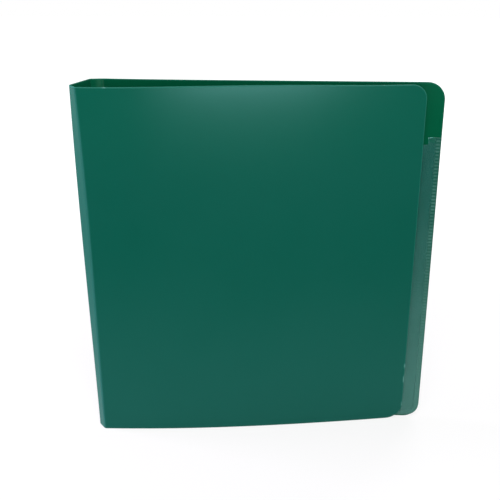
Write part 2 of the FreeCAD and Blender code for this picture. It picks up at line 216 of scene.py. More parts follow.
# Lamps: place, width and height in metres, power in watts and tint, all turned to one target
Lamp = namedtuple("Lamp", "place size power tint", defaults=[WHITE])
LAMP_TARGET = Vector((0, -15, 250)) * MM
LAMPS = {
    "shine_lamp": Lamp(Vector((0.272, -1.58, 0.13)), (0.47, 0.1), 25.2, (0.49, 1.0, 1.06)),
    "front_lamp": Lamp(Vector((0.3, -1.5, 0.6)), (0.8, 0.8), 5),
    "top_lamp": Lamp(Vector((0.15, -0.8, 1.5)), (0.9, 0.9), 20),
    "side_lamp": Lamp(Vector((-1.5, 0.0, 0.5)), (0.8, 0.8), 32, (1.0, 0.86, 1.05)),
    "rear_lamp": Lamp(Vector((0.6, 1.5, 0.8)), (1.0, 1.0), 16),
}

# Surroundings: light of the sky, and the floor with a glow that grows with the distance, in metres
SKY_LEVEL = 0.27
FLOOR_SIZE = 6
FLOOR_DROP = 0.1 * MM
GLOW_LEVEL = 0.75
GLOW_NEAR = 0.3
GLOW_FAR = 0.9

# Colours, linear
# The outside greens are the sheet's green with a bluish painted reflection of the white surroundings
OUTSIDE_GREEN = (0.0002, 0.076, 0.0507, 1)
OUTSIDE_HEAD_GREEN = (0.0002, 0.081, 0.0512, 1)
INSIDE_GREEN = (0.0001, 0.073, 0.0315, 1)
PALE_GREEN = (0.042, 0.165, 0.16, 1)
INSIDE_PALE_GREEN = (0.05, 0.2, 0.12, 1)
# Painted light on the inner faces at the head by the spine
INSIDE_PAINTED_LIGHT_GREEN = (0.0026, 0.107, 0.051, 1)
EDGE_GREEN = (0.03, 0.18, 0.14, 1)
# Painted glints on the front cover's edges
GLINT_GREEN = (0.085, 0.24, 0.21, 1)
FILM_HEAD_TONE = (0.014, 0.132, 0.108, 1)
# Film colour with the full painted reflection of the floor, at the foot
FILM_FOOT_REFLECTION = (0.09, 0.262, 0.228, 1)
TAB_TONE = (0.004, 0.13, 0.085, 1)
WELD_GREEN = (0.004, 0.066, 0.043, 1)
WELD_PALE = (0.068, 0.182, 0.152, 1)
NICKEL = (0.45, 0.44, 0.42, 1)
NICKEL_DARK = (0.39, 0.38, 0.365, 1)
FLOOR_WHITE = (0.85, 0.85, 0.85, 1)
FLOOR_GREY = (0.2, 0.2, 0.2, 1)

# Noise: its usual detail and roughness, and the range that holds most of its values
NOISE_DETAIL = 3
NOISE_ROUGHNESS = 0.5
NOISE_RANGE = (0.3, 0.7)
UNSTRETCHED = (1, 1, 1)

# Sheet finish: gloss of its two faces, with noise scales per metre for its grain, tones and rubbed patches
OUTSIDE_SPECULAR = 0.043
OUTSIDE_ROUGHNESS = 0.185
INSIDE_SPECULAR = 0.004
INSIDE_ROUGHNESS = 0.2
GRAIN_SCALE = 2400
GRAIN_BUMP = 0.12
GRAIN_DEPTH = 0.03 * MM
GRAIN_GLOSS = 0.02
TONE_SCALE = 11
TONE_SHARE = 0.02
RUBBED_SCALE = 90
RUBBED_STRETCH = (1, 1, 0.25)
RUBBED_DETAIL = 6
RUBBED_ROUGHNESS = 0.7
RUBBED_RANGE = (0.62, 0.8)
RUBBED_SHARE = 0.04
RUBBED_GLOSS = 0.04

# Sheet finish: how its colour changes with the height, with a painted reflection of the floor that grows
# towards the foot, and on whitened places, painted sheen and cut edges, whose head is brighter with painted
# light
HEAD_TONE_FROM = 220 * MM
FOOT_REFLECTION_TO = 200 * MM
FOOT_REFLECTION_SHARE = 0.16
WHITENING_AND_SHEEN_SHARE = 0.3
EDGE_SHARE = 0.33
EDGE_HEAD_LIGHT_SHARE = 0.52
EDGE_HEAD_LIGHT_FADE = 16 * MM
EDGE_GLOSS = 0.4

# Film finish: its clouds, a painted reflection of the floor that grows towards the foot, the tab, and
# painted shade on the rim along its head
FILM_ALPHA = 0.4
FILM_SPECULAR = 0.15
FILM_GLOSS = (0.1, 0.16)
CLOUD_SCALE = 40
CLOUD_SHARE = 0.06
REFLECTION_TO = 240 * MM
TAB_FADE = 2.5 * MM
RIM_SHADE_SHARE = 0.8
RIM_GLOSS = 0.5

# Weld finish: its grain, the worn paleness of its ridges, and a painted reflection of the floor that grows
# towards the foot
WELD_SPECULAR = 0.015
WELD_GLOSS = (0.45, 0.55)
WELD_DETAIL = 2
WELD_GRAIN_SCALE = 1500
WELD_BUMP = 0.2
RIDGE_SCALE = 70
RIDGE_RANGE = (0.4, 0.65)
RIDGE_SHARES = (0.5, 0.8)
WELD_REFLECTION_TO = 225 * MM
WELD_REFLECTION_SHARE = 0.8

# Nickel finish: stains and brushed grain, and each piece's roughness and stretch of the grain
STAIN_SCALE = 160
STAIN_DETAIL = 4
STAIN_RANGE = (0.35, 0.7)
BRUSH_SCALE = 900
BRUSH_BUMP = 0.1
BRUSH_DEPTH = 0.02 * MM
BRUSH_GLOSS = 0.08
HOUSING_ROUGHNESS = 0.24
HOUSING_STRETCH = (1, 1, 0.03)
RING_ROUGHNESS = 0.14
RING_STRETCH = (0.2, 0.2, 1)
RIVET_ROUGHNESS = 0.26


def clamp(value):
    """A value held between 0 and 1."""
    return min(1, max(0, value))


def spaced(start, finish, count):
    """Places that divide a stretch into equal parts, without its ends."""
    return [start + (finish - start) * step / count for step in range(1, count)]


# Shape of the sheet: middle lines in plan, for a way along the sheet and a height

def score_line(place, still=NO_SHIFT, bow=NO_SHIFT, lean=NO_SHIFT):
    """A score line in plan, which may stand off its axis, lean, and bow most at two thirds of its height."""
    def at(z):
        share = z / HEIGHT
        curve = BOW_SCALE * share * share * (1 - share)
        return place + still + lean * share + bow * curve
    return at


def flat_panel(start, finish, length):
    """Middle line of a flat panel between two lines."""
    def middle(x, z):
        return start(z).lerp(finish(z), x / length)
    return middle


def front_panel(start):
    """Middle line of the front cover, which is bowed along its foot and less along its head."""
    def middle(x, z):
        share = x / COVER
        arch = 4 * share * (1 - share)
        foot = FOOT_BOW * arch + FOOT_SKEW * math.sin(2 * math.pi * share) - FOOT_TURN * share
        head = HEAD_BOW * arch
        wave = WAVE * arch * noise.noise(Vector((x, 0, z)) * WAVE_SCALE)
        out = foot + (head - foot) * z / HEIGHT + wave
        fade = max(0, 1 - x / WARP_REACH) ** 2
        return FRONT_SCORE + FRONT_ALONG * x + FRONT_OUT * out + (start(z) - FRONT_SCORE) * fade
    return middle


def heading(middle, x, z):
    """Direction of a middle line at a place along it."""
    return (middle(x + DIFFERENCE, z) - middle(x - DIFFERENCE, z)).normalized()


def crease(before, after):
    """Middle line of the bent stretch between two panels, from minus to plus its half width."""
    before_x = before.end - CREASE

    def middle(x, z):
        first = before.middle(before_x, z)
        last = after.middle(CREASE, z)
        first_handle = first + heading(before.middle, before_x, z) * CREASE_HANDLE
        last_handle = last - heading(after.middle, CREASE, z) * CREASE_HANDLE
        t = (x / CREASE + 1) / 2
        s = 1 - t
        return (
            first * s ** 3 + first_handle * (3 * s * s * t)
            + last_handle * (3 * s * t * t) + last * t ** 3
        )
    return middle


# Head of the sheet: how far it drops, for a way along the sheet

def no_drop(x):
    """A head that is level."""
    return 0


def back_drop(x):
    """The back cover's head drops soon after its score line."""
    return BACK_DROP * (1 - math.exp(x / BACK_DROP_REACH))


def spine_drop(x):
    """The spine's head rises towards its front score line."""
    return -NOSE_RISE * x / SPINE


def front_fold_drop(x):
    """The front fold's head comes down from there to the front cover's."""
    return -NOSE_RISE + (NOSE_RISE - FRONT_RISE) * x / FOLD


def front_drop(x):
    """The front cover's head stands high by its score line, waves a little and ends low."""
    share = (x / COVER) ** 2
    rise = FRONT_RISE * math.exp(-x / FRONT_RISE_REACH)
    return FRONT_DROP * share - FRONT_WAVE * math.sin(2 * math.pi * share) - rise


def carried_drop(before, after):
    """The drop across a score line, from the end of one panel to the start of the next one."""
    def drop(x):
        return before.drop(before.end + x) if x < 0 else after.drop(x)
    return drop


def on_sheet(middle, drop, groove=0):
    """Turns way along, depth towards the outside and height into a point of the row frame.

    The sheet's head drops, and its inner face may have a groove at a score line.
    """
    def place(x, depth, z):
        along = heading(middle, x, z)
        if depth < 0:
            depth += groove * math.exp(-(x / GROOVE_WIDTH) ** 2)
        point = middle(x, z) + Vector((along.y, -along.x)) * depth
        return Vector((point.x, point.y, z - drop(x) * z / HEIGHT))
    return place


# Marks on the sheet: how strong they are, for a way along, a depth towards the outside and a height

def no_mark(x, depth, z):
    """A mark that is nowhere."""
    return 0


def painted_light_mark(x, depth, z):
    """Marks painted light on the head end of the inner faces beside the spine, where light falls into the
    slot.
    """
    if depth > 0:
        return 0
    return clamp(1 - (HEIGHT - z - LIGHT_HEAD) / LIGHT_FADE)


def cover_painted_light_mark(x, depth, z):
    """Marks the back cover in the same way, less and less away from its score line."""
    return LIGHT_COVER * math.exp(x / LIGHT_REACH) * painted_light_mark(x, depth, z)


def streak_and_light_mark(x, depth, z):
    """Marks a whitened streak along the back fold's inner face, partly painted light, so it fades below the
    head with the painted light.
    """
    return STREAK * math.exp(-((x - STREAK_WAY) / STREAK_WIDTH) ** 2) * painted_light_mark(x, depth, z)


def front_sheen_mark(x, depth, z):
    """Marks painted sheen on the outer face of the front fold, a reflection of the bright surroundings at
    the left.
    """
    return FRONT_FOLD_SHEEN if depth > 0 else 0


def glint_mark(x, depth, z):
    """Marks the painted glints, small pale spots that stand for highlights on the front cover's free edge
    and head edge.
    """
    on_side = x > COVER - SIDE_MARK_DEPTH and any(abs(z - height) < half for height, half in SIDE_MARKS)
    on_head = z > HEIGHT - HEAD_MARK_DEPTH and abs(x - HEAD_MARK_WAY) < HEAD_MARK_HALF
    return int(on_side or on_head)


def carried_mark(before, end, after):
    """Carries a mark across a score line, from one panel's at its end to the next one's at its start."""
    def mark(x, depth, z):
        share = (x / CREASE + 1) / 2
        return before(end + x, depth, z) * (1 - share) + after(x, depth, z) * share
    return mark


def whitening_and_sheen_mark(before, after, white):
    """Marks the whitened middle of a score line, between the whitening and painted sheen marks of the panels
    on its two sides.
    """
    carried = carried_mark(before.stress, before.end, after.stress)

    def mark(x, depth, z):
        return max(carried(x, depth, z), white * (1 - abs(x) / CREASE))
    return mark


# Panels: each one's body, middle line, way to its last score line, drop, and painted light and
# whitening-and-sheen marks

Panel = namedtuple("Panel", "body middle end drop light stress")
back_line = score_line(BACK_SCORE)
rear_line = score_line(REAR_SCORE, REAR_SET)
nose_line = score_line(NOSE_SCORE, NOSE_SET, NOSE_BOW, NOSE_LEAN)
front_line = score_line(FRONT_SCORE, FRONT_SET, FRONT_BOW, FRONT_LEAN)

# The back cover comes before the first score line, so its ways are negative and run away from this line
mirrored_side = score_line(BACK_SCORE - Vector((COVER, 0)))

back_cover = Panel(
    "back_cover", flat_panel(back_line, mirrored_side, COVER), 0, back_drop, cover_painted_light_mark, no_mark
)
back_fold = Panel(
    "back_fold", flat_panel(back_line, rear_line, FOLD), FOLD, no_drop, painted_light_mark, streak_and_light_mark
)
spine = Panel("spine", flat_panel(rear_line, nose_line, SPINE), SPINE, spine_drop, painted_light_mark, no_mark)
front_fold = Panel(
    "front_fold", flat_panel(nose_line, front_line, FOLD), FOLD, front_fold_drop, no_mark, front_sheen_mark
)
front_cover = Panel("front_cover", front_panel(front_line), COVER, front_drop, no_mark, no_mark)


# Mesh helpers

def finish_mesh(bm, name):
    """Turn a bmesh into a smooth-shaded object whose hard edges stay sharp."""
    bmesh.ops.recalc_face_normals(bm, faces=bm.faces)
    data = bpy.data.meshes.new(name)
    bm.to_mesh(data)
    bm.free()
    data.shade_smooth()
    data.set_sharp_from_angle(angle=SHARP_ANGLE)
    made = bpy.data.objects.new(name, data)
    bpy.context.scene.collection.objects.link(made)
    return made


def edge_layers(half, radius):
    """Inset, depth and edge mark of an outline's rings, from the outer face round the cut edge inwards."""
    arc = []
    for step in range(EDGE_STEPS + 1):
        angle = math.pi / 2 * step / EDGE_STEPS
        arc.append((radius * (1 - math.sin(angle)), half - radius * (1 - math.cos(angle)), 1))
    outer = [(radius + EDGE_BAND, half, 0)] + arc
    return outer + [(inset, -depth, mark) for inset, depth, mark in reversed(outer)]


def quarter(centre_x, centre_z, radius, first, side=1):
    """Points of a quarter circle from a first angle in degrees, mirrored where side is minus one."""
    points = []
    for step in range(CORNER_STEPS + 1):
        angle = math.radians(first + 90 * step / CORNER_STEPS)
        points.append((centre_x + side * radius * math.cos(angle), centre_z + radius * math.sin(angle)))
    return points


def strip_outline(start, finish):
    """Outline of a strip between two score lines, and its two open ends, where the sheet runs on."""
    def at(inset):
        top = HEIGHT - inset
        return [(start, inset), (finish, inset), (finish, top), (start, top)]
    return at, (0, 2)


def cover_outline(start, finish, corners):
    """Outline of a cover with round corners at its free end, and its open end at the score line."""
    side = math.copysign(1, finish - start)
    foot, head = corners

    def at(inset):
        low = quarter(finish - side * foot, foot, foot - inset, -90, side)
        high = quarter(finish - side * head, HEIGHT - head, head - inset, 0, side)
        return [(start, inset)] + low + high + [(start, HEIGHT - inset)]
    return at, (0,)


def slab(name, outline, open_ends, layers, columns, rows, place, paint):
    """A closed sheet piece: its outline's rings, both faces and open ends, cut into a grid and set in place.

    The face on the inside of the album takes the piece's second material.
    """
    bm = bmesh.new()
    edge = bm.verts.layers.float.new("edge")
    rings = []
    for inset, depth, mark in layers:
        ring = [bm.verts.new((x, depth, z)) for x, z in outline(inset)]
        for vertex in ring:
            vertex[edge] = mark
        rings.append(ring)
    for i in range(len(rings[0])):
        if i in open_ends:
            bm.faces.new([ring[i] for ring in rings] + [ring[i - 1] for ring in reversed(rings)])
            continue
        for ring, following in zip(rings, rings[1:]):
            bm.faces.new((ring[i - 1], ring[i], following[i], following[i - 1]))
    bm.faces.new(rings[0])
    bm.faces.new(rings[-1])
    for normal, cuts in (((1, 0, 0), columns), ((0, 0, 1), rows)):
        for cut in cuts:
            everything = bm.verts[:] + bm.edges[:] + bm.faces[:]
            bmesh.ops.bisect_plane(
                bm, geom=everything, dist=CUT_TOLERANCE, plane_co=Vector(normal) * cut, plane_no=normal
            )
    inner_depth = INNER_SHARE * layers[-1][1]
    for face in bm.faces:
        face.material_index = int(face.calc_center_median().y < inner_depth)
    painted = {mark: bm.verts.layers.float.new(mark) for mark in paint}
    for vertex in bm.verts:
        x, depth, z = vertex.co
        for mark, value in paint.items():
            vertex[painted[mark]] = value(x, depth, z)
        vertex.co = place(x, depth, z)
    return finish_mesh(bm, name)


def sweep(name, sections):
    """A closed piece through a row of rings of points, with both ends capped."""
    bm = bmesh.new()
    rings = [[bm.verts.new(point) for point in section] for section in sections]
    for ring, following in zip(rings, rings[1:]):
        for i in range(len(ring)):
            bm.faces.new((ring[i - 1], ring[i], following[i], following[i - 1]))
    bm.faces.new(rings[0])
    bm.faces.new(rings[-1])
    return finish_mesh(bm, name)


# Material helpers

def new_material(name):
    """A material with an empty node tree, its tree and its surface socket."""
    material = bpy.data.materials.new(name)
    material.use_nodes = True
    tree = material.node_tree
    tree.nodes.clear()
    output = tree.nodes.new("ShaderNodeOutputMaterial")
    return material, tree, output.inputs["Surface"]


def connect(tree, socket, value):
    """Link a socket to another one, or set its own value."""
    if isinstance(value, bpy.types.NodeSocket):
        tree.links.new(value, socket)
    else:
        socket.default_value = value


def add(tree, kind, sockets=None, **settings):
    """A node of that kind with its sockets filled in by name or number."""
    made = tree.nodes.new("ShaderNode" + kind)
    for setting, value in settings.items():
        setattr(made, setting, value)
    for socket, value in (sockets or {}).items():
        connect(tree, made.inputs[socket], value)
    return made


def mix(tree, factor, first, second):
    """Colour between two colours, by the colour sockets of the node, whose names repeat."""
    made = add(tree, "Mix", {0: factor, 6: first, 7: second}, data_type="RGBA")
    return made.outputs[2]


def math_node(tree, operation, first, second):
    """A number from two numbers."""
    return add(tree, "Math", {0: first, 1: second}, operation=operation).outputs[0]


def product(tree, first, second):
    """Two numbers multiplied."""
    return math_node(tree, "MULTIPLY", first, second)


def total(tree, first, second):
    """Two numbers added."""
    return math_node(tree, "ADD", first, second)


def span(tree, value, low, high, to_low=0.0, to_high=1.0):
    """A number taken smoothly from one range to another."""
    sockets = {"Value": value, "From Min": low, "From Max": high, "To Min": to_low, "To Max": to_high}
    return add(tree, "MapRange", sockets, interpolation_type="SMOOTHSTEP").outputs["Result"]


def mark_value(tree, name):
    """A mark stored on the mesh's points."""
    return add(tree, "Attribute", attribute_name=name).outputs["Fac"]


def stretched(tree, scale=UNSTRETCHED):
    """Places on the object, stretched by a scale for each axis."""
    place = add(tree, "TexCoord").outputs["Object"]
    return add(tree, "Mapping", {"Vector": place, "Scale": scale}).outputs["Vector"]


def height_of(tree, place):
    """Height of a place."""
    return add(tree, "SeparateXYZ", {"Vector": place}).outputs["Z"]


def speckle(tree, vector, scale, detail=NOISE_DETAIL, roughness=NOISE_ROUGHNESS):
    """Noise at a scale, from 0 to 1."""
    sockets = {"Vector": vector, "Scale": scale, "Detail": detail, "Roughness": roughness}
    return add(tree, "TexNoise", sockets).outputs["Fac"]


def relief(tree, height, strength, depth):
    """Normals of a surface with a fine relief."""
    return add(tree, "Bump", {"Strength": strength, "Distance": depth, "Height": height}).outputs[0]


def coat(tree, surface, sockets):
    """Give a material its one shader, with the sockets filled in."""
    shader = add(tree, "BsdfPrincipled", sockets)
    connect(tree, surface, shader.outputs[0])


def dress(piece, materials):
    """Give a new piece its materials."""
    for material in materials:
        piece.data.materials.append(material)
    return piece


# Materials

def sheet_material(name, green, head_green, pale, specular, roughness):
    """Satin polypropylene: fine grain, slow tones, rubbed patches, pale cut edges and score lines, and
    painted light: floor reflection at the foot, brighter head edges, lit heads inside, fold sheen and edge
    glints.
    """
    material, tree, surface = new_material(name)
    place = stretched(tree)
    height = height_of(tree, place)
    grain = speckle(tree, place, GRAIN_SCALE)
    tone = span(tree, speckle(tree, place, TONE_SCALE), *NOISE_RANGE)
    patches = speckle(tree, stretched(tree, RUBBED_STRETCH), RUBBED_SCALE, RUBBED_DETAIL, RUBBED_ROUGHNESS)
    rubbed = span(tree, patches, *RUBBED_RANGE)
    edge = mark_value(tree, "edge")
    # Pale cut edges, painted brighter towards the head, where they face up into the light
    bare_and_lit = span(tree, height, HEIGHT - EDGE_HEAD_LIGHT_FADE, HEIGHT, EDGE_SHARE, EDGE_HEAD_LIGHT_SHARE)
    colour = mix(tree, span(tree, height, HEAD_TONE_FROM, HEIGHT), green, head_green)
    colour = mix(tree, product(tree, tone, TONE_SHARE), colour, pale)
    colour = mix(tree, product(tree, rubbed, RUBBED_SHARE), colour, pale)
    # Painted reflection of the white floor: paler towards the foot
    colour = mix(tree, span(tree, height, FOOT_REFLECTION_TO, 0, 0, FOOT_REFLECTION_SHARE), colour, pale)
    # Painted light in the slot: the inner faces by the spine are lighter at the head
    colour = mix(tree, mark_value(tree, "light"), colour, INSIDE_PAINTED_LIGHT_GREEN)
    # Whitening of the score lines and the back fold's streak, with painted light on the streak and painted
    # sheen on the front fold
    colour = mix(tree, product(tree, mark_value(tree, "stress"), WHITENING_AND_SHEEN_SHARE), colour, pale)
    colour = mix(tree, product(tree, edge, bare_and_lit), colour, EDGE_GREEN)
    # Painted glints on the front cover's free edge and head edge
    colour = mix(tree, mark_value(tree, "glint"), colour, GLINT_GREEN)
    gloss = span(tree, grain, *NOISE_RANGE, roughness - GRAIN_GLOSS, roughness + GRAIN_GLOSS)
    gloss = total(tree, gloss, product(tree, rubbed, RUBBED_GLOSS))
    gloss = total(tree, gloss, product(tree, edge, EDGE_GLOSS))
    coat(tree, surface, {
        "Base Color": colour, "Roughness": gloss, "Specular IOR Level": specular,
        "Normal": relief(tree, grain, GRAIN_BUMP, GRAIN_DEPTH),
    })
    return material


def film_material():
    """Clear film over the green sheet: glossy, with a bluish painted reflection of the floor that grows
    towards the foot.
    """
    material, tree, surface = new_material("pocket_clear_film")
    place = stretched(tree)
    height = height_of(tree, place)
    cloud = span(tree, speckle(tree, place, CLOUD_SCALE), *NOISE_RANGE, -CLOUD_SHARE, CLOUD_SHARE)
    # Painted reflection of the white floor that grows towards the foot, with random clouds
    haze_and_reflection = total(tree, span(tree, height, REFLECTION_TO, 0), cloud)
    below_head = span(tree, height, FILM_HEAD - EDGE_BAND, FILM_HEAD)
    above_head = span(tree, height, FILM_HEAD + EDGE_BAND, FILM_HEAD)
    rim = product(tree, mark_value(tree, "edge"), product(tree, below_head, above_head))
    gloss = span(tree, cloud, -CLOUD_SHARE, CLOUD_SHARE, *FILM_GLOSS)
    gloss = total(tree, gloss, product(tree, rim, RIM_GLOSS))
    colour = mix(tree, haze_and_reflection, FILM_HEAD_TONE, FILM_FOOT_REFLECTION)
    colour = mix(tree, span(tree, height, FILM_HEAD, FILM_HEAD + TAB_FADE), colour, TAB_TONE)
    # Painted shade: the rim along the film's head is darkened towards the inner green
    colour = mix(tree, product(tree, rim, RIM_SHADE_SHARE), colour, INSIDE_GREEN)
    coat(tree, surface, {
        "Base Color": colour, "Alpha": FILM_ALPHA, "Roughness": gloss, "Specular IOR Level": FILM_SPECULAR,
    })
    return material


def weld_material():
    """Film welded to the sheet: the green shows through, paler on the ridges."""
    material, tree, surface = new_material("pocket_knurled_weld")
    place = stretched(tree)
    height = height_of(tree, place)
    grain = speckle(tree, place, WELD_GRAIN_SCALE, WELD_DETAIL)
    worn = span(tree, speckle(tree, place, RIDGE_SCALE, WELD_DETAIL), *RIDGE_RANGE, *RIDGE_SHARES)
    colour = mix(tree, product(tree, mark_value(tree, "ridge"), worn), WELD_GREEN, WELD_PALE)
    # Painted reflection of the white floor: the weld grows paler towards the foot
    colour = mix(tree, span(tree, height, WELD_REFLECTION_TO, 0, 0, WELD_REFLECTION_SHARE), colour, WELD_PALE)
    coat(tree, surface, {
        "Base Color": colour, "Roughness": span(tree, grain, *NOISE_RANGE, *WELD_GLOSS),
        "Specular IOR Level": WELD_SPECULAR, "Normal": relief(tree, grain, WELD_BUMP, GRAIN_DEPTH),
    })
    return material


def nickel_material(name, roughness, stretch=UNSTRETCHED):
    """Nickel plate on steel, with a fine brushed grain along the stretched axis."""
    material, tree, surface = new_material(name)
    stain = span(tree, speckle(tree, stretched(tree), STAIN_SCALE, STAIN_DETAIL), *STAIN_RANGE)
    brush = speckle(tree, stretched(tree, stretch), BRUSH_SCALE)
    coat(tree, surface, {
        "Base Color": mix(tree, stain, NICKEL, NICKEL_DARK), "Metallic": 1.0,
        "Roughness": span(tree, brush, *NOISE_RANGE, roughness, roughness + BRUSH_GLOSS),
        "Normal": relief(tree, brush, BRUSH_BUMP, BRUSH_DEPTH),
    })
    return material


polypropylene = (
    sheet_material(
        "cover_polypropylene", OUTSIDE_GREEN, OUTSIDE_HEAD_GREEN, PALE_GREEN,
        OUTSIDE_SPECULAR, OUTSIDE_ROUGHNESS,
    ),
    sheet_material(
        "cover_polypropylene_inner", INSIDE_GREEN, INSIDE_GREEN, INSIDE_PALE_GREEN,
        INSIDE_SPECULAR, INSIDE_ROUGHNESS,
    ),
)
knurl = weld_material()
clear_film = film_material()


# Pieces of the sheet

SHEET_LAYERS = edge_layers(HALF_SHEET, EDGE_RADIUS)
PANEL_ROWS = spaced(0, HEIGHT, SHEET_ROWS)
MARK_ROWS = [height + end * half for height, half in SIDE_MARKS for end in MARK_ENDS]
MARK_ROWS.append(HEIGHT - HEAD_MARK_DEPTH - MARK_FADE)
MARK_COLUMNS = [HEAD_MARK_WAY + end * HEAD_MARK_HALF for end in MARK_ENDS]
MARK_COLUMNS.append(COVER - SIDE_MARK_DEPTH - MARK_FADE)


def sheet_piece(name, outline, columns, rows, place, paint):
    """A piece of the sheet in its two materials."""
    at, open_ends = outline
    piece = slab(name, at, open_ends, SHEET_LAYERS, columns, rows, place, paint)
    return dress(piece, polypropylene)


def sheet_panel(name, node, panel, outline, columns, rows=PANEL_ROWS, glint=no_mark):
    """One panel of the sheet, standing for its solid."""
    place = on_sheet(panel.middle, panel.drop)
    paint = {"light": panel.light, "stress": panel.stress, "glint": glint}
    piece = sheet_piece(name, outline, columns, rows, place, paint)
    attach(piece, panel.body)
    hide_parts(node)


def reaches(place, x, way):
    """How far along a direction the sheet lies at a way along it, on both faces and at all heights."""
    heights = PANEL_ROWS + [0, HEIGHT]
    return [place(x, face, z).dot(way) for face in (-HALF_SHEET, HALF_SHEET) for z in heights]


def score_bend(name, before, after, white=SCORE_WHITE):
    """The bent stretch at a score line between two panels, baked in place."""
    place = on_sheet(crease(before, after), carried_drop(before, after), GROOVE_DEPTH)
    paint = {
        "light": carried_mark(before.light, before.end, after.light),
        "stress": whitening_and_sheen_mark(before, after, white), "glint": no_mark,
    }
    columns = spaced(-CREASE, CREASE, BEND_COLUMNS)
    piece = sheet_piece(name, strip_outline(-CREASE, CREASE), columns, PANEL_ROWS, place, paint)
    line = (place(0, 0, HEIGHT) - place(0, 0, 0)).normalized()
    way = place(CREASE, 0, 0) - place(-CREASE, 0, 0)
    way = (way - line * way.dot(line)).normalized()
    start = way * max(reaches(place, -CREASE, way))
    end = way * min(reaches(place, CREASE, way))
    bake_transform(piece)


def make_sheet():
    """The five panels of the sheet and the four score lines between them."""
    wide = spaced(0, COVER, COVER_COLUMNS)
    back_outline = cover_outline(-CREASE, -COVER, BACK_CORNERS)
    sheet_panel("back_cover_sheet", "back_cover", back_cover, back_outline, [-x for x in wide])
    for name, node, panel, columns in (
        ("back_fold_sheet", "back_fold_strip", back_fold, BACK_FOLD_COLUMNS),
        ("spine_sheet", "spine_panel", spine, SPINE_COLUMNS),
        ("front_fold_sheet", "front_fold_strip", front_fold, FRONT_FOLD_COLUMNS),
    ):
        outline = strip_outline(CREASE, panel.end - CREASE)
        sheet_panel(name, node, panel, outline, spaced(0, panel.end, columns))
    front_outline = cover_outline(CREASE, COVER, FRONT_CORNERS)
    sheet_panel("front_cover_sheet", "front_cover", front_cover, front_outline,
                wide + MARK_COLUMNS, PANEL_ROWS + MARK_ROWS, glint_mark)
    score_bend("score_back", back_cover, back_fold)
    score_bend("score_spine_rear", back_fold, spine, REAR_SCORE_WHITE)
    score_bend("score_spine_front", spine, front_fold)
    score_bend("score_front", front_fold, front_cover)


# Pieces of the pocket

def film_outline(inset):
    """Outline of the film between the welds, with a round lower corner and a tab at its free side."""
    left = FILM_LEFT - FILM_OVERLAP + inset
    right = FILM_RIGHT + FILM_OVERLAP - inset
    low = FILM_FOOT - FILM_OVERLAP + inset
    head = FILM_HEAD - inset
    tab = WELD_RIGHT - TAB_WIDTH + inset
    tab_top = TAB_TOP - inset
    radius = POCKET_CORNER - WELD_WIDTH
    corner = quarter(right - radius, low + radius, radius, -90)
    return [(left, low)] + corner + [(right, tab_top), (tab, tab_top), (tab, head), (left, head)]


def film_place(x, depth, z):
    """Puts the film before the back cover, slightly blown up and rippled between its welds."""
    across = clamp((x - FILM_LEFT) / (FILM_RIGHT - FILM_LEFT))
    up = clamp((z - FILM_FOOT) / (FILM_HEAD - WELD_FOOT))
    slack = math.sin(math.pi * across) * min(1, up / FILM_SLACK_FROM)
    ripple = noise.noise(Vector((x, z, 0)) * FILM_RIPPLE_SCALE)
    inside = min(x - FILM_LEFT, FILM_RIGHT - x, z - FILM_FOOT)
    sunk = FILM_SUNK * (1 - clamp(inside / FILM_RISE))
    stand = FILM_GAP + FILM_HALF - sunk + slack * (FILM_BILLOW + FILM_RIPPLE * ripple)
    return Vector((x, SHEET_LOW.y - stand - depth, z))


def straight_path(start, direction):
    """Way along a straight weld, with across measured inwards, to its right."""
    inwards = Vector((direction.y, -direction.x))

    def at(along, across):
        return start + direction * along + inwards * across
    return at


def corner_path(along, across):
    """Way down the free side of the pocket and round its corner, with across measured inwards."""
    if along < SIDE_STRAIGHT:
        return Vector((WELD_RIGHT - across, TAB_TOP - along))
    angle = (along - SIDE_STRAIGHT) / POCKET_CORNER
    centre = Vector((WELD_RIGHT - POCKET_CORNER, WELD_FOOT + POCKET_CORNER))
    return centre + Vector((math.cos(angle), -math.sin(angle))) * (POCKET_CORNER - across)


def weld_strip(name, node, path, length):
    """A knurled weld: a strip of ridges across its way, lying on the back cover's inner face."""
    count = math.ceil(length / WELD_PITCH * WELD_STEPS)
    sections = []
    heights = []
    for step in range(count + 1):
        along = length * step / count
        ridge = (1 + math.cos(2 * math.pi * along / WELD_PITCH)) / 2
        crest = WELD_FLAT + WELD_RIDGE * ridge
        profile = (
            (0, 0), (0, WELD_LIP), (WELD_BEVEL, crest), (WELD_WIDTH / 2, crest),
            (WELD_WIDTH - WELD_BEVEL, crest), (WELD_WIDTH, WELD_LIP), (WELD_WIDTH, 0),
        )
        section = []
        for across, rise in profile:
            place = path(along, across)
            section.append((place.x, SHEET_LOW.y - rise, place.y))
            heights.append(ridge if rise == crest else 0)
        sections.append(section)
    piece = sweep(name, sections)
    marks = piece.data.attributes.new("ridge", "FLOAT", "POINT")
    marks.data.foreach_set("value", heights)
    dress(piece, [knurl])
    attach(piece, "back_cover")
    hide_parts(node)


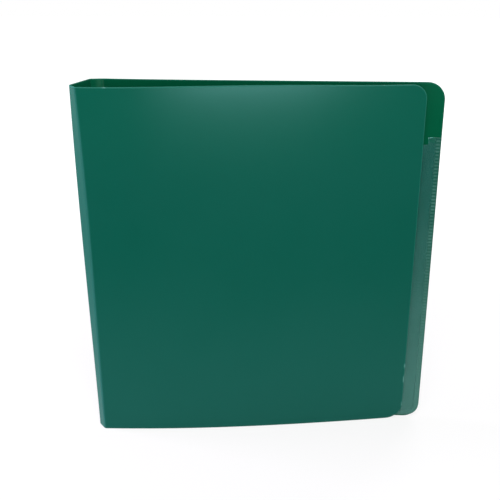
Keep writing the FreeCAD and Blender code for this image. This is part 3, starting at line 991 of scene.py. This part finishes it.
def make_pocket():
    """The film and the three stretches of weld that hold it."""
    layers = edge_layers(FILM_HALF, FILM_EDGE)
    columns = spaced(FILM_LOW.x, FILM_HIGH.x, FILM_COLUMNS)
    rows = spaced(0, FILM_HEAD, FILM_ROWS)
    film = slab("pocket_film_sheet", film_outline, (), layers, columns, rows, film_place, {})
    dress(film, [clear_film, clear_film])
    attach(film, "back_cover")
    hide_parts("pocket_film")
    side_length = SIDE_STRAIGHT + POCKET_CORNER * math.pi / 2
    weld_strip("pocket_weld_side_knurl", "pocket_weld_side", corner_path, side_length)
    foot_start = Vector((WELD_RIGHT - POCKET_CORNER, WELD_FOOT))
    foot_path = straight_path(foot_start, Vector((-1, 0)))
    weld_strip("pocket_weld_foot_knurl", "pocket_weld_foot", foot_path, foot_start.x - FILM_LOW.x)
    inner_path = straight_path(Vector((WELD_LEFT, FILM_FOOT)), Vector((0, 1)))
    weld_strip("pocket_weld_inner_knurl", "pocket_weld_inner", inner_path, FILM_HEAD - FILM_FOOT)


# Ring mechanism

def make_mechanism():
    """Plated steel for the rings, the plates that carry them, the housing and its rivets."""
    housing = nickel_material("housing_nickel", HOUSING_ROUGHNESS, HOUSING_STRETCH)
    rings = nickel_material("ring_nickel", RING_ROUGHNESS, RING_STRETCH)
    rivets = nickel_material("rivet_nickel", RIVET_ROUGHNESS)
    for name, node in frame["nodes"].items():
        if name.startswith("rivet"):
            metal = rivets
        elif name.startswith("hinge_plate") or name == "ring_housing":
            metal = housing
        elif name.startswith("ring_"):
            metal = rings
        else:
            continue
        node.data.materials.clear()
        node.data.materials.append(metal)


# Floor, light and camera

def seen_directly(tree):
    """One where a camera, mirror or glass ray looks, zero for scattered light."""
    path = add(tree, "LightPath").outputs
    mirrored = math_node(tree, "MAXIMUM", path["Is Glossy Ray"], path["Is Transmission Ray"])
    return math_node(tree, "MAXIMUM", path["Is Camera Ray"], mirrored)


def make_floor():
    """A white floor that keeps a soft shadow."""
    bpy.ops.mesh.primitive_plane_add(size=FLOOR_SIZE, location=(0, 0, -FLOOR_DROP))
    floor = bpy.context.object
    floor.name = "floor"
    material, tree, surface = new_material("floor_white")
    plain = add(tree, "BsdfDiffuse", {"Color": FLOOR_WHITE})
    shaded = add(tree, "BsdfDiffuse", {"Color": FLOOR_GREY})
    place = add(tree, "TexCoord").outputs["Object"]
    distance = add(tree, "VectorMath", {0: place}, operation="LENGTH").outputs["Value"]
    glow = add(tree, "Emission", {"Strength": span(tree, distance, GLOW_NEAR, GLOW_FAR, GLOW_LEVEL)})
    lit = add(tree, "AddShader", {0: shaded.outputs[0], 1: glow.outputs[0]})
    both = add(tree, "MixShader", {0: seen_directly(tree), 1: plain.outputs[0], 2: lit.outputs[0]})
    connect(tree, surface, both.outputs[0])
    floor.data.materials.append(material)


def make_lamp(name, lamp):
    """A soft rectangular lamp that faces the album."""
    data = bpy.data.lights.new(name, "AREA")
    data.shape = "RECTANGLE"
    data.size, data.size_y = lamp.size
    data.energy = lamp.power
    data.color = lamp.tint
    made = bpy.data.objects.new(name, data)
    made.location = lamp.place
    made.rotation_euler = (LAMP_TARGET - lamp.place).to_track_quat("-Z", "Y").to_euler()
    bpy.context.scene.collection.objects.link(made)
    return made


def make_lamps():
    """Soft light from the front, above, the left and behind, and a strip that only shines in gloss.

    The lamp at the left stays out of gloss, because the front cover would mirror it at a low angle.
    """
    lamps = {name: make_lamp(name, lamp) for name, lamp in LAMPS.items()}
    lamps["shine_lamp"].visible_diffuse = False
    lamps["side_lamp"].visible_glossy = False


def make_world():
    """White surroundings at a plain level of light."""
    world = bpy.data.worlds.new("white_room")
    world.use_nodes = True
    tree = world.node_tree
    tree.nodes.clear()
    level = span(tree, seen_directly(tree), 0, 1, SKY_LEVEL)
    sky = add(tree, "Background", {"Color": (*WHITE, 1), "Strength": level})
    output = tree.nodes.new("ShaderNodeOutputWorld")
    connect(tree, output.inputs["Surface"], sky.outputs[0])
    bpy.context.scene.world = world


def make_camera():
    """The camera at the photograph's place."""
    data = bpy.data.cameras.new("camera")
    data.sensor_width = SENSOR
    data.lens = FOCAL_PIXELS * SENSOR / FRAME_PIXELS
    camera = bpy.data.objects.new("camera", data)
    turn = (
        Matrix.Rotation(-CAMERA_YAW, 4, "Z")
        @ Matrix.Rotation(math.pi / 2 - CAMERA_PITCH, 4, "X")
        @ Matrix.Rotation(CAMERA_ROLL, 4, "Z")
    )
    camera.matrix_world = Matrix.Translation(CAMERA_PLACE) @ turn
    bpy.context.scene.collection.objects.link(camera)
    bpy.context.scene.camera = camera


make_sheet()
make_pocket()
make_mechanism()
make_floor()
make_lamps()
make_world()
make_camera()
bpy.context.scene.view_settings.view_transform = "Standard"
